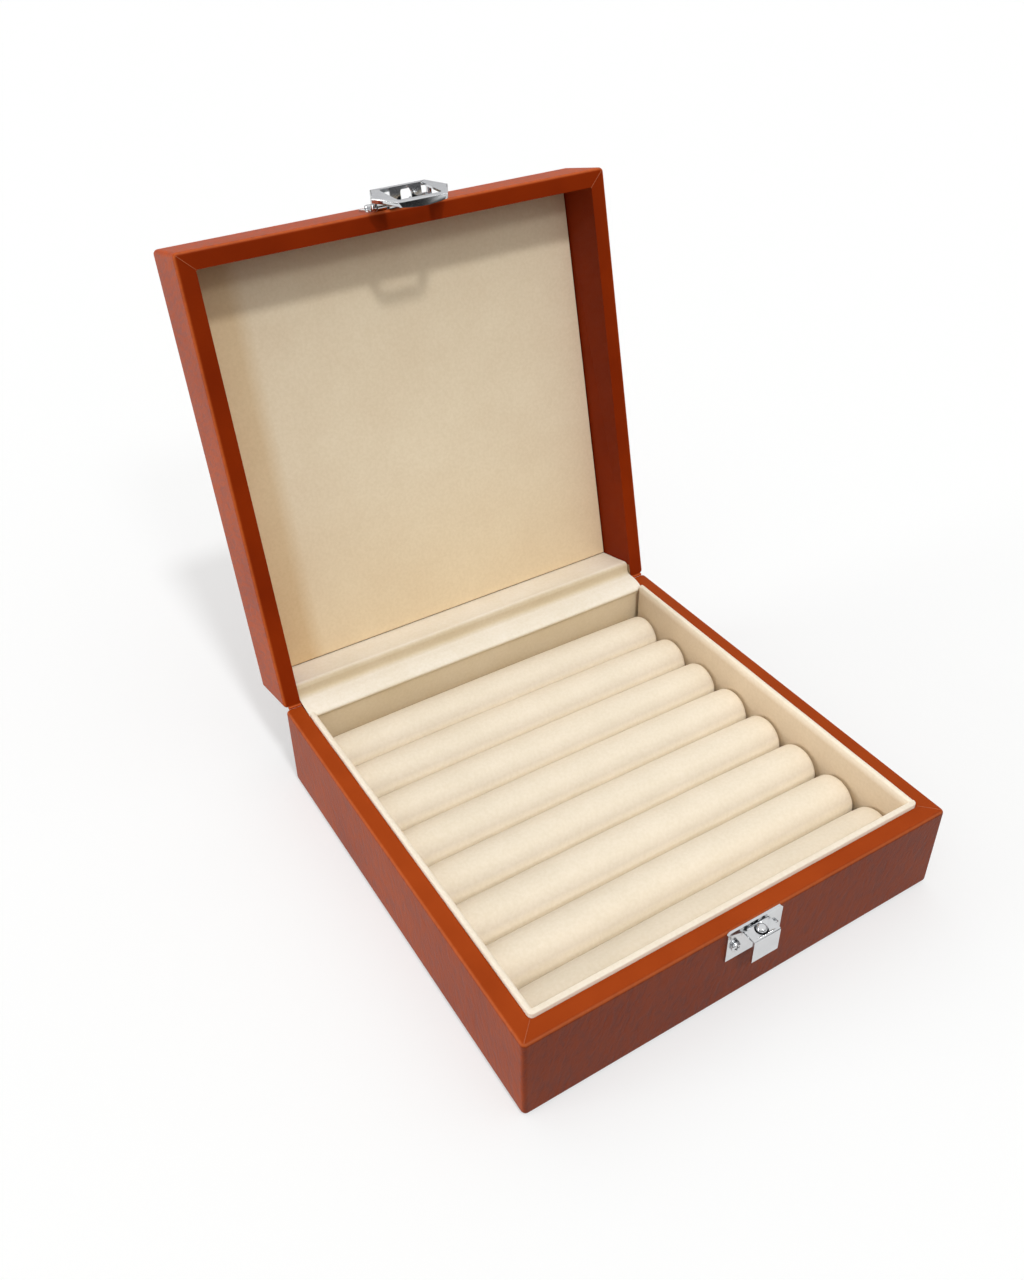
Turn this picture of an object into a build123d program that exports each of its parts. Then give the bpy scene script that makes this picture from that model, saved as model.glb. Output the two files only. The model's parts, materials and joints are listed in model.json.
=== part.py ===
from build123d import *
import os

os.makedirs("parts", exist_ok=True)

# Ring organizer box, in millimetres. X is the width, -Y the front and Z is up. The origin is the
# centre of the underside, on the surface that the box stands on. The lid stands open.

# Case
box_width = 200.0
box_depth = 200.0
base_height = 42.0
lid_height = 30.0
lid_opening_angle = 103.3
rim_gap = 0.3
corner_radius = 2.0
rim_radius = 1.5
floor_radius = 1.8
cut_overrun = 5.0

# Boards and what covers them
side_board = 6.0
base_floor_board = 3.0
lid_top_board = 4.0
leather = 0.8
velvet = 0.6
base_turn_in = 12.0
underside_turn_in = 16.0
underside_cloth = 0.5
underside_cloth_margin = 4.0

# Back edge: the rim there is lower, because the hinge cloth lies over it
back_rim_drop = 3.0
hinge_cloth = 0.8
hinge_cloth_side_gap = 0.3
hinge_cloth_tail = 16.0
fold_gap = 0.15
fold_nose_reach = 1.5
fold_nose_depth = 3.6
fold_nose_tip_depth = 1.8
fold_ridge_inset = 0.3
fold_valley_depth = 0.7
fold_end_depth = 0.4
hinge_strip_tail = 16.0
hinge_neck_overlap = 0.8
hinge_fold_radius = 0.6

# Tray
collar_board = 1.2
collar_fit = 0.2
collar_proud = 1.8
collar_edge_radius = 0.9
collar_back_gap = 0.5
roll_count = 8
roll_gap = 0.175
roll_crown = 0.7
roll_shoulder = 2.8
roll_flat = 0.3
roll_crest_drop = 12.0
roll_end_gap = 0.5
roll_disc_proud = 0.3
roll_card = 1.2
roll_pad_fit = 0.3

# Lid lining
lining_card = 2.5
lining_fit = 0.5
lining_edge_radius = 0.5

# Screws that hold the catch and the clasp
screw_head_radius = 2.2
screw_head_height = 1.4
screw_head_rounding = 0.8
screw_shank_radius = 1.0
screw_shank_length = 6.5
screw_hole_clearance = 0.05
screw_cross_length = 2.6
screw_cross_width = 0.5
screw_cross_depth = 0.6

# Catch on the base: a plate whose tongue makes a shelf and a lip
catch_sheet = 1.0
catch_width = 26.0
catch_height = 15.5
catch_corner = 1.0
catch_screw_spacing = 18.4
catch_screw_drop = 8.4
tongue_width = 12.5
tongue_drop = 2.0
tongue_reach = 7.5
lip_drop = 11.5
tongue_bend_radius = 0.9
stud_radius = 2.1
stud_height = 1.7
stud_rounding = 1.4
stud_reach = 4.0
stud_dimple_radius = 2.7
stud_dimple_depth = 0.3
stud_shank_radius = 1.0

# Clasp plate on the lid: knuckles for the pin, and a tab that sits over the stud
clasp_sheet = 0.95
clasp_plate_width = 30.0
clasp_neck_width = 24.0
clasp_neck_rise = 6.2
clasp_plate_rise = 16.4
clasp_corner = 2.0
clasp_screw_spacing = 21.0
clasp_screw_rise = 13.4
pin_rise = 3.4
pin_radius = 0.9
pin_clearance = 0.05
pin_head_radius = 1.35
pin_head_length = 0.6
knuckle_inner = 7.8
knuckle_outer = 12.0
tab_width = 14.5
tab_sheet = 0.85
tab_lift = 0.3
tab_gap = 0.3
tab_offset = 1.4
tab_reach = 8.6
tab_slot_width = 5.0
tab_slot_end = 8.0

# Swinging flap: a pressed six-sided frame with a window, two ears and a lifting lip
flap_sheet = 0.9
flap_tilt = 12.1
flap_stand_off = 6.3
flap_skirt = 2.0
flap_half_width = 17.5
flap_waist = 8.6
flap_back_reach = 3.0
flap_back_half = 12.8
flap_front_reach = 20.3
flap_front_half = 11.0
flap_edge_radius = 0.5
window_half_width = 10.0
window_back = 0.6
window_front = 17.5
window_corner = 1.0
ear_gap = 0.5
ear_radius = 1.7
lifting_lip_end = 2.2
lifting_lip_middle = 3.3

# Places that the sizes above give
half_width = box_width / 2
half_depth = box_depth / 2
lid_rim_z = base_height + rim_gap
fold_z = base_height + rim_gap / 2
board_face_x = half_width - leather - side_board
board_face_y = half_depth - leather - side_board
mouth_x = board_face_x - leather
mouth_y = board_face_y - leather
base_floor_z = underside_cloth + leather + base_floor_board
hinge_axis = Axis((0, half_depth, fold_z), (1, 0, 0))

parts = {}


def block(x_from, x_to, y_from, y_to, z_from, z_to):
    """A rectangular solid between two corners."""
    size = (x_to - x_from, y_to - y_from, z_to - z_from)
    return Pos(x_from, y_from, z_from) * Box(*size, align=(Align.MIN, Align.MIN, Align.MIN))


def across(half_span, y_from, y_to, z_from, z_to):
    """A block that runs equally far to the left and right."""
    return block(-half_span, half_span, y_from, y_to, z_from, z_to)


def side_profile(points, half_span):
    """A solid with the given outline of (y, z) points, as wide as twice the half span."""
    face = make_face(Polyline(*points, close=True))
    return extrude(Plane.YZ * face, amount=half_span, both=True)


def rod(radius, x_from, x_to):
    """A round rod along X, on the X axis."""
    align = (Align.CENTER, Align.CENTER, Align.MIN)
    return Pos(x_from, 0, 0) * Rot(0, 90, 0) * Cylinder(radius, x_to - x_from, align=align)


def opened(shape):
    """Swings a piece of the shut lid to where the open lid stands."""
    return shape.rotate(hinge_axis, -lid_opening_angle)


def on_base(shape):
    """Sets a case that is drawn with its rim at zero on the base."""
    return Pos(0, 0, base_height) * shape


def on_lid(shape):
    """Turns a case that is drawn with its rim at zero over, and sets it in the open lid."""
    return opened(Pos(0, 0, lid_rim_z) * mirror(shape, about=Plane.XY))


# The two cases. Each is drawn with its rim at zero and its floor below, and is as deep as it is high.


def case_block(depth, inset):
    """The rounded outside of a case, or of its boards when it is inset by the leather."""
    reach_x = half_width - inset
    reach_y = half_depth - inset
    body = across(reach_x, -reach_y, reach_y, inset - depth, -inset)
    body = fillet(body.edges().filter_by(Axis.Z), corner_radius - inset)
    body = fillet(body.faces().sort_by(Axis.Z)[-1].edges(), rim_radius - inset)
    return fillet(body.faces().sort_by(Axis.Z)[0].edges(), floor_radius - inset)


def case_boards(depth, floor_board):
    """The floor of a case and the four side boards that stand on it."""
    core = case_block(depth, leather)
    floor_top = leather + floor_board - depth
    front = across(half_width, -half_depth, -board_face_y, floor_top, 0)
    back = across(half_width, board_face_y, half_depth, floor_top, 0)
    back -= across(mouth_x, board_face_y, half_depth, -back_rim_drop, 0)
    right = block(board_face_x, half_width, -board_face_y, board_face_y, floor_top, 0)
    return {
        "floor": core & across(half_width, -half_depth, half_depth, -depth, floor_top),
        "front": core & front,
        "back": core & back,
        "right": core & right,
        "left": core & mirror(right, about=Plane.YZ),
    }


def rim_turn_in(depth):
    """The leather that is turned down inside the rim, on the front and the two sides."""
    outside = across(board_face_x, -board_face_y, board_face_y, -depth, -leather)
    return outside - across(mouth_x, -mouth_y, board_face_y, -depth, -leather)


def case_leather(depth, turn_in):
    """One wrap of leather over the outside and the rim of a case."""
    wrap = case_block(depth, 0) - case_block(depth, leather)
    wrap -= across(mouth_x, -mouth_y, half_depth - leather, -leather, cut_overrun)
    wrap -= across(mouth_x, board_face_y, half_depth - leather, -back_rim_drop, cut_overrun)
    return wrap + rim_turn_in(turn_in)


def hinge_cloth_half(tail):
    """Half of the hinge cloth: up the back board, in a soft nose over the rim, to the fold."""
    wall_face = board_face_y - hinge_cloth
    crown = rim_gap / 2 - fold_gap
    nose_low = (wall_face, crown - fold_nose_depth)
    nose_tip = (wall_face - fold_nose_reach, crown - fold_nose_tip_depth)
    ridge = (wall_face + fold_ridge_inset, crown)
    end_y = half_depth - leather
    end = (end_y, crown - fold_end_depth)
    valley = ((ridge[0] + end_y) / 2, crown - fold_valley_depth)
    edges = [
        Line((board_face_y, -tail), (wall_face, -tail)),
        Line((wall_face, -tail), nose_low),
        ThreePointArc(nose_low, nose_tip, ridge),
        ThreePointArc(ridge, valley, end),
        Line(end, (end_y, -back_rim_drop)),
        Line((end_y, -back_rim_drop), (board_face_y, -back_rim_drop)),
        Line((board_face_y, -back_rim_drop), (board_face_y, -tail)),
    ]
    face = Plane.YZ * make_face(edges)
    return extrude(face, amount=mouth_x - hinge_cloth_side_gap, both=True)


# Screws


def pan_screw():
    """A pan-head screw with a cross recess, its head's seat at zero and its head towards +Z."""
    up = (Align.CENTER, Align.CENTER, Align.MIN)
    down = (Align.CENTER, Align.CENTER, Align.MAX)
    head = Cylinder(screw_head_radius, screw_head_height, align=up)
    head = fillet(head.faces().sort_by(Axis.Z)[-1].edges(), screw_head_rounding)
    cross_low = Pos(0, 0, screw_head_height)
    head -= cross_low * Box(screw_cross_length, screw_cross_width, 2 * screw_cross_depth)
    head -= cross_low * Box(screw_cross_width, screw_cross_length, 2 * screw_cross_depth)
    return head + Cylinder(screw_shank_radius, screw_shank_length, align=down)


def on_front(shape, x, outward, z):
    """Sets a piece on the front of the shut box, with its +Z turned outward."""
    return Pos(x, -half_depth - outward, z) * Rot(90, 0, 0) * shape


def screw_pair(spacing, seat, z):
    """Two screws side by side, as one group of separate solids."""
    return [on_front(pan_screw(), side * spacing / 2, seat, z) for side in (-1, 1)]


def screw_holes(spacing, z):
    """What a pair of screws needs cut through the plate, the leather and the board."""
    radius = screw_shank_radius + screw_hole_clearance
    drill = Cylinder(radius, 2 * (side_board + cut_overrun))
    return [on_front(drill, side * spacing / 2, 0, z) for side in (-1, 1)]


catch_screw_z = base_height - catch_screw_drop
clasp_screw_z = lid_rim_z + clasp_screw_rise
catch_drills = screw_holes(catch_screw_spacing, catch_screw_z)
clasp_drills = screw_holes(clasp_screw_spacing, clasp_screw_z)


# Base


def make_base_boards():
    """The five boards of the base. The back one is rebated for the hinge strip."""
    boards = case_boards(base_height - underside_cloth, base_floor_board)
    strip_low = half_depth - leather - leather
    boards["back"] -= across(mouth_x, strip_low, half_depth, -hinge_strip_tail, 0)
    parts["base_floor_board"] = on_base(boards["floor"])
    parts["base_front_board"] = on_base(boards["front"]) - catch_drills
    for side in ("back", "left", "right"):
        parts[f"base_{side}_board"] = on_base(boards[side])


def make_base_leather():
    """The base's wrap, turned in under the floor, and left off where the hinge strip comes out."""
    depth = base_height - underside_cloth
    neck_low = -back_rim_drop - hinge_neck_overlap
    wrap = case_leather(depth, base_turn_in)
    wrap -= across(mouth_x, half_depth - leather, half_depth, neck_low, cut_overrun)
    window_x = half_width - underside_turn_in
    window_y = half_depth - underside_turn_in
    wrap -= across(window_x, -window_y, window_y, -depth - cut_overrun, leather - depth)
    parts["base_leather"] = on_base(wrap) - catch_drills


def make_underside():
    """The cloth glued under the base, with the filler card that levels it inside the turn-in."""
    cloth_x = half_width - underside_cloth_margin
    cloth_y = half_depth - underside_cloth_margin
    card_x = half_width - underside_turn_in
    card_y = half_depth - underside_turn_in
    cloth = across(cloth_x, -cloth_y, cloth_y, 0, underside_cloth)
    card = across(card_x, -card_y, card_y, underside_cloth, underside_cloth + leather)
    parts["underside_cloth"] = cloth + card


def make_leather_hinge():
    """The strip glued behind the back board, and the fold that the lid turns on."""
    strip_y = half_depth - leather
    neck_low = -back_rim_drop - hinge_neck_overlap
    tail = across(mouth_x, strip_y - leather, strip_y, -hinge_strip_tail, -back_rim_drop)
    neck = across(mouth_x, strip_y, half_depth, neck_low, 0)
    fold = Pos(0, half_depth, rim_gap / 2) * rod(hinge_fold_radius, -mouth_x, mouth_x)
    parts["leather_hinge"] = on_base(tail + neck + fold)


# Tray


def collar_wall(x_from, x_to, y_from, y_to):
    """A card that stands on the floor, and the velvet wrapped over its top."""
    top = base_height + collar_proud
    card = block(
        x_from + velvet, x_to - velvet, y_from + velvet, y_to - velvet, base_floor_z, top - velvet
    )
    cover = block(x_from, x_to, y_from, y_to, base_floor_z, top)
    cover = fillet(cover.faces().sort_by(Axis.Z)[-1].edges(), collar_edge_radius)
    return card, cover - card


def make_collar():
    """The velvet-covered walls of the tray: one at the front and one at each side."""
    thickness = collar_board + velvet + velvet
    outer_x = mouth_x - collar_fit
    outer_y = mouth_y - collar_fit
    inner_y = outer_y - thickness
    back_y = board_face_y - hinge_cloth - fold_nose_reach - collar_back_gap
    walls = {
        "front": collar_wall(-outer_x, outer_x, -outer_y, -inner_y),
        "left": collar_wall(-outer_x, thickness - outer_x, -inner_y, back_y),
        "right": collar_wall(outer_x - thickness, outer_x, -inner_y, back_y),
    }
    for side, (card, cover) in walls.items():
        parts[f"collar_{side}_card"] = card
        parts[f"collar_{side}_velvet"] = cover


def roll_form(half_length, radius, crown, shoulder):
    """A padded roll along X: a slight swell along its length and a rounded shoulder at each end."""
    end_radius = radius - crown
    flank = half_length - shoulder
    lower = end_radius - shoulder
    middle = shoulder * (1 - 0.5**0.5)
    edges = [
        Line((-half_length, 0), (-half_length, lower)),
        ThreePointArc(
            (-half_length, lower), (middle - half_length, end_radius - middle), (-flank, end_radius)
        ),
        ThreePointArc((-flank, end_radius), (0, radius), (flank, end_radius)),
        ThreePointArc(
            (flank, end_radius), (half_length - middle, end_radius - middle), (half_length, lower)
        ),
        Line((half_length, lower), (half_length, 0)),
        Line((half_length, 0), (-half_length, 0)),
    ]
    return revolve(make_face(edges), axis=Axis.X)


tray_half_width = mouth_x - collar_fit - collar_board - velvet - velvet
tray_front = -(mouth_y - collar_fit - collar_board - velvet - velvet)
tray_back = board_face_y - hinge_cloth
roll_pitch = (tray_back - tray_front) / roll_count
roll_radius = (roll_pitch - roll_gap) / 2
roll_z = base_height - roll_crest_drop - roll_radius
roll_seat_z = roll_z - roll_radius + roll_flat
roll_half_length = tray_half_width - roll_end_gap


def make_rolls():
    """Eight rolls, each with its foam core, its velvet and the two discs that close its ends."""
    core = roll_form(
        roll_half_length - velvet, roll_radius - velvet, roll_crown, roll_shoulder - velvet
    )
    disc_radius = roll_radius - roll_crown - roll_shoulder
    disc_start = roll_half_length - velvet
    disc_end = roll_half_length + roll_disc_proud
    right_disc = rod(disc_radius, disc_start, disc_end)
    left_disc = rod(disc_radius, -disc_end, -disc_start)
    cover = roll_form(roll_half_length, roll_radius, roll_crown, roll_shoulder) - core
    cover = cover - right_disc - left_disc
    seat = roll_flat - roll_radius
    cover -= across(roll_half_length, -roll_radius, roll_radius, -roll_radius - roll_flat, seat)
    for number in range(1, roll_count + 1):
        place = Pos(0, tray_back - (number - 1 / 2) * roll_pitch, roll_z)
        parts[f"ring_roll_{number}_velvet"] = place * cover
        parts[f"ring_roll_{number}_foam"] = place * core
        parts[f"ring_roll_{number}_end_discs"] = [place * left_disc, place * right_disc]


def make_tray_floor():
    """The card that the rolls are glued to, on a foam pad that lifts it to their height."""
    reach_x = tray_half_width - roll_pad_fit
    front_y = tray_front + roll_pad_fit
    back_y = tray_back - roll_pad_fit
    card_low = roll_seat_z - roll_card
    parts["roll_card"] = across(reach_x, front_y, back_y, card_low, roll_seat_z)
    parts["tray_foam_pad"] = across(reach_x, front_y, back_y, base_floor_z, card_low)


# Lid


def make_lid_case():
    """The lid's five boards, and its wrap, which also lines the front and side walls."""
    boards = case_boards(lid_height, lid_top_board)
    clasp_cuts = [opened(drill) for drill in clasp_drills]
    parts["lid_top_board"] = on_lid(boards["floor"])
    parts["lid_front_board"] = on_lid(boards["front"]) - clasp_cuts
    for side in ("back", "left", "right"):
        parts[f"lid_{side}_board"] = on_lid(boards[side])
    inner_depth = lid_height - leather - lid_top_board
    parts["lid_leather"] = on_lid(case_leather(lid_height, inner_depth)) - clasp_cuts


def make_lid_lining():
    """The lid's padded panel: a card with velvet over its face and edges."""
    reach_x = mouth_x - lining_fit
    reach_y = mouth_y - lining_fit
    back_z = lid_rim_z + lid_height - leather - lid_top_board
    face_z = back_z - lining_card - velvet
    card_x = reach_x - velvet
    card_y = reach_y - velvet
    card = across(card_x, -card_y, card_y, face_z + velvet, back_z)
    cover = across(reach_x, -reach_y, reach_y, face_z, back_z)
    cover = fillet(cover.faces().sort_by(Axis.Z)[0].edges(), lining_edge_radius)
    parts["lid_lining_card"] = opened(card)
    parts["lid_lining_velvet"] = opened(cover - card)


def make_hinge_cloth():
    """The cloth over the hinge: one half lies on the base, the other on the lid."""
    lid_tail = lid_height - leather - lid_top_board
    parts["hinge_cloth_on_base"] = on_base(hinge_cloth_half(hinge_cloth_tail))
    parts["hinge_cloth_on_lid"] = on_lid(hinge_cloth_half(lid_tail))


# Catch on the base


def outward(points):
    """Turns (outward from the front face, z) points to (y, z)."""
    return [(-half_depth - out, z) for out, z in points]


def make_catch():
    """The plate, its tongue bent to a shelf and a lip, the domed stud and the two screws."""
    half_catch = catch_width / 2
    plate_low = base_height - catch_height
    shelf_top = base_height - tongue_drop
    shelf_low = shelf_top - catch_sheet
    lip_low = shelf_top - lip_drop
    lip_inner = tongue_reach - catch_sheet
    front = -half_depth - catch_sheet
    plate = across(half_catch, front, -half_depth, plate_low, base_height)
    plate = chamfer(plate.edges().filter_by(Axis.Y).group_by(Axis.Z)[-1], catch_corner)
    outline = [(catch_sheet / 2, shelf_top), (tongue_reach, shelf_top), (tongue_reach, lip_low)]
    outline += [(lip_inner, lip_low), (lip_inner, shelf_low), (catch_sheet / 2, shelf_low)]
    tongue = side_profile(outward(outline), tongue_width / 2)
    bend = tongue.edges().filter_by(Axis.X).group_by(Axis.Y)[0].sort_by(Axis.Z)[-1]
    tongue = fillet(bend, tongue_bend_radius)
    stud_y = -half_depth - stud_reach
    up = (Align.CENTER, Align.CENTER, Align.MIN)
    down = (Align.CENTER, Align.CENTER, Align.MAX)
    dimple = Cylinder(stud_dimple_radius, stud_dimple_depth, align=down)
    shank = Cylinder(stud_shank_radius, catch_sheet, align=down)
    stud = Cylinder(stud_radius, stud_height + stud_dimple_depth, align=up)
    stud = fillet(stud.faces().sort_by(Axis.Z)[-1].edges(), stud_rounding)
    stud = Pos(0, 0, -stud_dimple_depth) * stud + shank
    at_stud = Pos(0, stud_y, shelf_top)
    catch = plate + tongue - at_stud * dimple - at_stud * shank
    parts["catch_plate"] = catch - catch_drills
    parts["catch_stud"] = at_stud * stud
    parts["catch_screws"] = screw_pair(catch_screw_spacing, catch_sheet, catch_screw_z)


# Clasp on the lid, drawn on the shut box

pin_out = 2 * clasp_sheet
pin_z = lid_rim_z + pin_rise
ear_inner = knuckle_outer + ear_gap


def at_pin(shape):
    """Sets a shape that is drawn about the X axis on the clasp's pin."""
    return Pos(0, -half_depth - pin_out, pin_z) * shape


def make_clasp_plate():
    """The plate, its two curled knuckles and the joggled tab with the arched slot."""
    half_plate = clasp_plate_width / 2
    half_neck = clasp_neck_width / 2
    plate_top = lid_rim_z + clasp_plate_rise
    shoulder_z = lid_rim_z + clasp_neck_rise
    front = -half_depth - clasp_sheet
    plate = across(half_plate, front, -half_depth, shoulder_z, plate_top)
    plate = fillet(plate.edges().filter_by(Axis.Y), clasp_corner)
    plate += across(half_neck, front, -half_depth, pin_z, shoulder_z + clasp_corner)
    curl = rod(2 * clasp_sheet, knuckle_inner, knuckle_outer)
    plate = plate + at_pin(curl) + at_pin(mirror(curl, about=Plane.YZ))
    plate -= at_pin(rod(pin_radius + pin_clearance, -half_plate, half_plate))
    tab = make_tab()
    parts["clasp_plate"] = opened(plate + tab - clasp_drills)
    seat = clasp_sheet
    screws = screw_pair(clasp_screw_spacing, seat, clasp_screw_z)
    parts["clasp_screws"] = [opened(screw) for screw in screws]


def make_tab():
    """The tab: it steps out over the catch's plate, then down, and lies over the shelf."""
    roof_low = lid_rim_z + tab_lift
    roof_high = roof_low + tab_sheet
    flat_low = base_height - tongue_drop + tab_gap
    flat_high = flat_low + tab_sheet
    riser_in = tab_offset
    riser_out = tab_offset + tab_sheet
    outline = [(0, pin_z), (0, roof_low), (riser_in, roof_low), (riser_in, flat_low)]
    outline += [(tab_reach, flat_low), (tab_reach, flat_high), (riser_out, flat_high)]
    outline += [(riser_out, roof_high), (clasp_sheet, roof_high), (clasp_sheet, pin_z)]
    tab = side_profile(outward(outline), tab_width / 2)
    half_slot = tab_slot_width / 2
    slot_top = base_height - tongue_drop + stud_height + tab_gap
    arch_y = -half_depth - tab_slot_end + half_slot
    tab -= across(half_slot, arch_y, -half_depth - riser_in, flat_low, slot_top)
    align = (Align.CENTER, Align.CENTER, Align.MIN)
    arch = Cylinder(half_slot, slot_top - flat_low, align=align)
    return tab - Pos(0, arch_y, flat_low) * arch


def make_clasp_pin():
    """The pin through the knuckles and the flap's ears, with a small head at each end."""
    outer = ear_inner + flap_sheet + pin_clearance
    pin = rod(pin_radius, -outer, outer)
    head = rod(pin_head_radius, outer, outer + pin_head_length)
    parts["clasp_pin"] = opened(at_pin(pin + head + mirror(head, about=Plane.YZ)))


# Flap. It is drawn about its pin: +Y runs along it to the lid's top, and +Z is outward.


def flap_outline(inset):
    """The six-sided face of the frame, all round smaller by the inset."""
    right = [
        (flap_back_half, flap_back_reach),
        (flap_half_width, -flap_waist),
        (flap_front_half, -flap_front_reach),
    ]
    left = [(-x, y) for x, y in reversed(right)]
    face = make_face(Polyline(*right, *left, close=True))
    return offset(face, amount=-inset) if inset else face


def lifting_lip():
    """The turned-down front edge, deeper in the middle, that a finger lifts."""
    low_end = flap_stand_off - lifting_lip_end
    low_middle = flap_stand_off - lifting_lip_middle
    high = flap_stand_off - flap_sheet
    right = (flap_front_half, low_end)
    left = (-flap_front_half, low_end)
    edges = [
        Line((-flap_front_half, high), (flap_front_half, high)),
        Line((flap_front_half, high), right),
        ThreePointArc(right, (0, low_middle), left),
        Line(left, (-flap_front_half, high)),
    ]
    lip = extrude(Plane.XZ * make_face(edges), amount=flap_sheet)
    return Pos(0, flap_sheet - flap_front_reach, 0) * lip


def flap_ear():
    """An ear that reaches from under the frame down to the pin."""
    drop = flap_stand_off - flap_sheet
    ear = block(ear_inner, ear_inner + flap_sheet, -ear_radius, ear_radius, 0, drop)
    return ear + rod(ear_radius, ear_inner, ear_inner + flap_sheet)


def make_flap():
    """The pressed frame, hollow behind, with its window, ears and lifting lip."""
    low = flap_stand_off - flap_skirt
    frame = extrude(Pos(0, 0, low) * flap_outline(0), amount=flap_skirt)
    frame = fillet(frame.faces().sort_by(Axis.Z)[-1].edges(), flap_edge_radius)
    inside = extrude(Pos(0, 0, low) * flap_outline(flap_sheet), amount=flap_skirt - flap_sheet)
    window_length = window_front + window_back
    window = RectangleRounded(2 * window_half_width, window_length, window_corner)
    window = extrude(window, amount=flap_stand_off)
    window = Pos(0, (window_back - window_front) / 2, 0) * window
    ear = flap_ear()
    frame = frame - inside - window + lifting_lip() + ear + mirror(ear, about=Plane.YZ)
    frame -= rod(pin_radius + pin_clearance, -flap_half_width, flap_half_width)
    parts["clasp_flap"] = opened(at_pin(Rot(90 + flap_tilt, 0, 0) * frame))


make_base_boards()
make_base_leather()
make_underside()
make_leather_hinge()
make_collar()
make_rolls()
make_tray_floor()
make_lid_case()
make_lid_lining()
make_hinge_cloth()
make_catch()
make_clasp_plate()
make_clasp_pin()
make_flap()

for name, shape in parts.items():
    pieces = shape if isinstance(shape, list) else [shape]
    solids = [solid for piece in pieces for solid in piece.solids()]
    export_step(Compound(children=solids), f"parts/{name}.step")
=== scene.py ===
import json
import math

import bpy
from mathutils import Matrix, Vector, noise

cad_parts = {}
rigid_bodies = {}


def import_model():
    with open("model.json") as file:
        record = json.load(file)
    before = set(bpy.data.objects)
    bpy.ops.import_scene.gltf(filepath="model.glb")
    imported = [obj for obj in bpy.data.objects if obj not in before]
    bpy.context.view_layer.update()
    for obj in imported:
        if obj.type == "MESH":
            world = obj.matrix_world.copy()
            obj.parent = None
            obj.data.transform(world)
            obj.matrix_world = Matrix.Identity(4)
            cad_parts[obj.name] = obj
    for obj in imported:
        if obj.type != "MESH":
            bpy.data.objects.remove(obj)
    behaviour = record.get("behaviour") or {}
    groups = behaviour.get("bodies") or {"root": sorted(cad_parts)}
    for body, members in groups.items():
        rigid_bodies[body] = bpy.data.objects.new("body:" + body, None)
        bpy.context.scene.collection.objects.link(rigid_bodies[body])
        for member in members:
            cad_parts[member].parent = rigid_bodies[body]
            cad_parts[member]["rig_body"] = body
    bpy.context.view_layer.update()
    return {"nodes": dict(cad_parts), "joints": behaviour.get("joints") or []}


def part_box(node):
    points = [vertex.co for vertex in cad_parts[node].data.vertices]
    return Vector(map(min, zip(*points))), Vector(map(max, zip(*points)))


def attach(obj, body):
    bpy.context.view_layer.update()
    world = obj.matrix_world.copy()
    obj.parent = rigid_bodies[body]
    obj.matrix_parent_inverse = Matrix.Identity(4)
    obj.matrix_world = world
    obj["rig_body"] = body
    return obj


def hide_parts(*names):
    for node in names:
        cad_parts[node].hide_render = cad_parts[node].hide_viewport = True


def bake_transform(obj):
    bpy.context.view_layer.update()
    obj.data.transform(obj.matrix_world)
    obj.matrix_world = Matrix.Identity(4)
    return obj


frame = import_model()


# Camera
# Solved from the corners of the case in the photo, which is 1024 by 1280 pixels. The photo is a
# crop, so the optical axis lies a little above and left of its centre.

photo_width = 1024
photo_height = 1280
focal_length_px = 1165.0
axis_px = (500.4, 604.4)
camera_place = Vector((-0.2173, -0.2919, 0.3856))
camera_forward = Vector((0.4108, 0.6978, -0.5868)).normalized()
camera_right = Vector((0.8542, -0.5196, -0.0200))
camera_right = (camera_right - camera_forward * camera_right.dot(camera_forward)).normalized()
camera_up = camera_right.cross(camera_forward)

camera_lens = bpy.data.cameras.new("camera")
camera_lens.sensor_width = 36.0
camera_lens.lens = camera_lens.sensor_width * focal_length_px / photo_height
camera_lens.shift_x = (photo_width / 2 - axis_px[0]) / photo_height
camera_lens.shift_y = (axis_px[1] - photo_height / 2) / photo_height
camera = bpy.data.objects.new("camera", camera_lens)
bpy.context.scene.collection.objects.link(camera)
camera.matrix_world = Matrix.Translation(camera_place) @ Matrix(
    (
        (camera_right.x, camera_up.x, -camera_forward.x),
        (camera_right.y, camera_up.y, -camera_forward.y),
        (camera_right.z, camera_up.z, -camera_forward.z),
    )
).to_4x4()
bpy.context.scene.camera = camera
bpy.context.scene.view_settings.view_transform = "Standard"


# Floor and light
# A white table with no seam, in a white room. The camera sees it white, polished metal sees it
# dark where it lies well in front of the box, and the box is lit from high in front and from the
# left behind.


def linear(hex_colour):
    """Turns an sRGB hex colour to linear numbers with an alpha of one."""
    channels = [int(hex_colour[place : place + 2], 16) / 255 for place in (1, 3, 5)]
    return [c / 12.92 if c <= 0.04045 else ((c + 0.055) / 1.055) ** 2.4 for c in channels] + [1]


def add_node(tree, kind, settings=None, links=None):
    """Adds a node, sets its properties and its inputs' values, and links its inputs to outputs."""
    node = tree.nodes.new(kind)
    for name, value in (settings or {}).items():
        if isinstance(name, int) or name in node.inputs:
            node.inputs[name].default_value = value
        else:
            setattr(node, name, value)
    for name, output in (links or {}).items():
        tree.links.new(output, node.inputs[name])
    return node


floor_reach = 12.0
dark_floor_from = -0.35
dark_floor_by = -0.60
floor_lift = 0.42
bpy.ops.object.select_all(action="DESELECT")
bpy.ops.mesh.primitive_plane_add(size=2 * floor_reach)
floor = bpy.context.object
floor.name = "floor"

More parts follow.
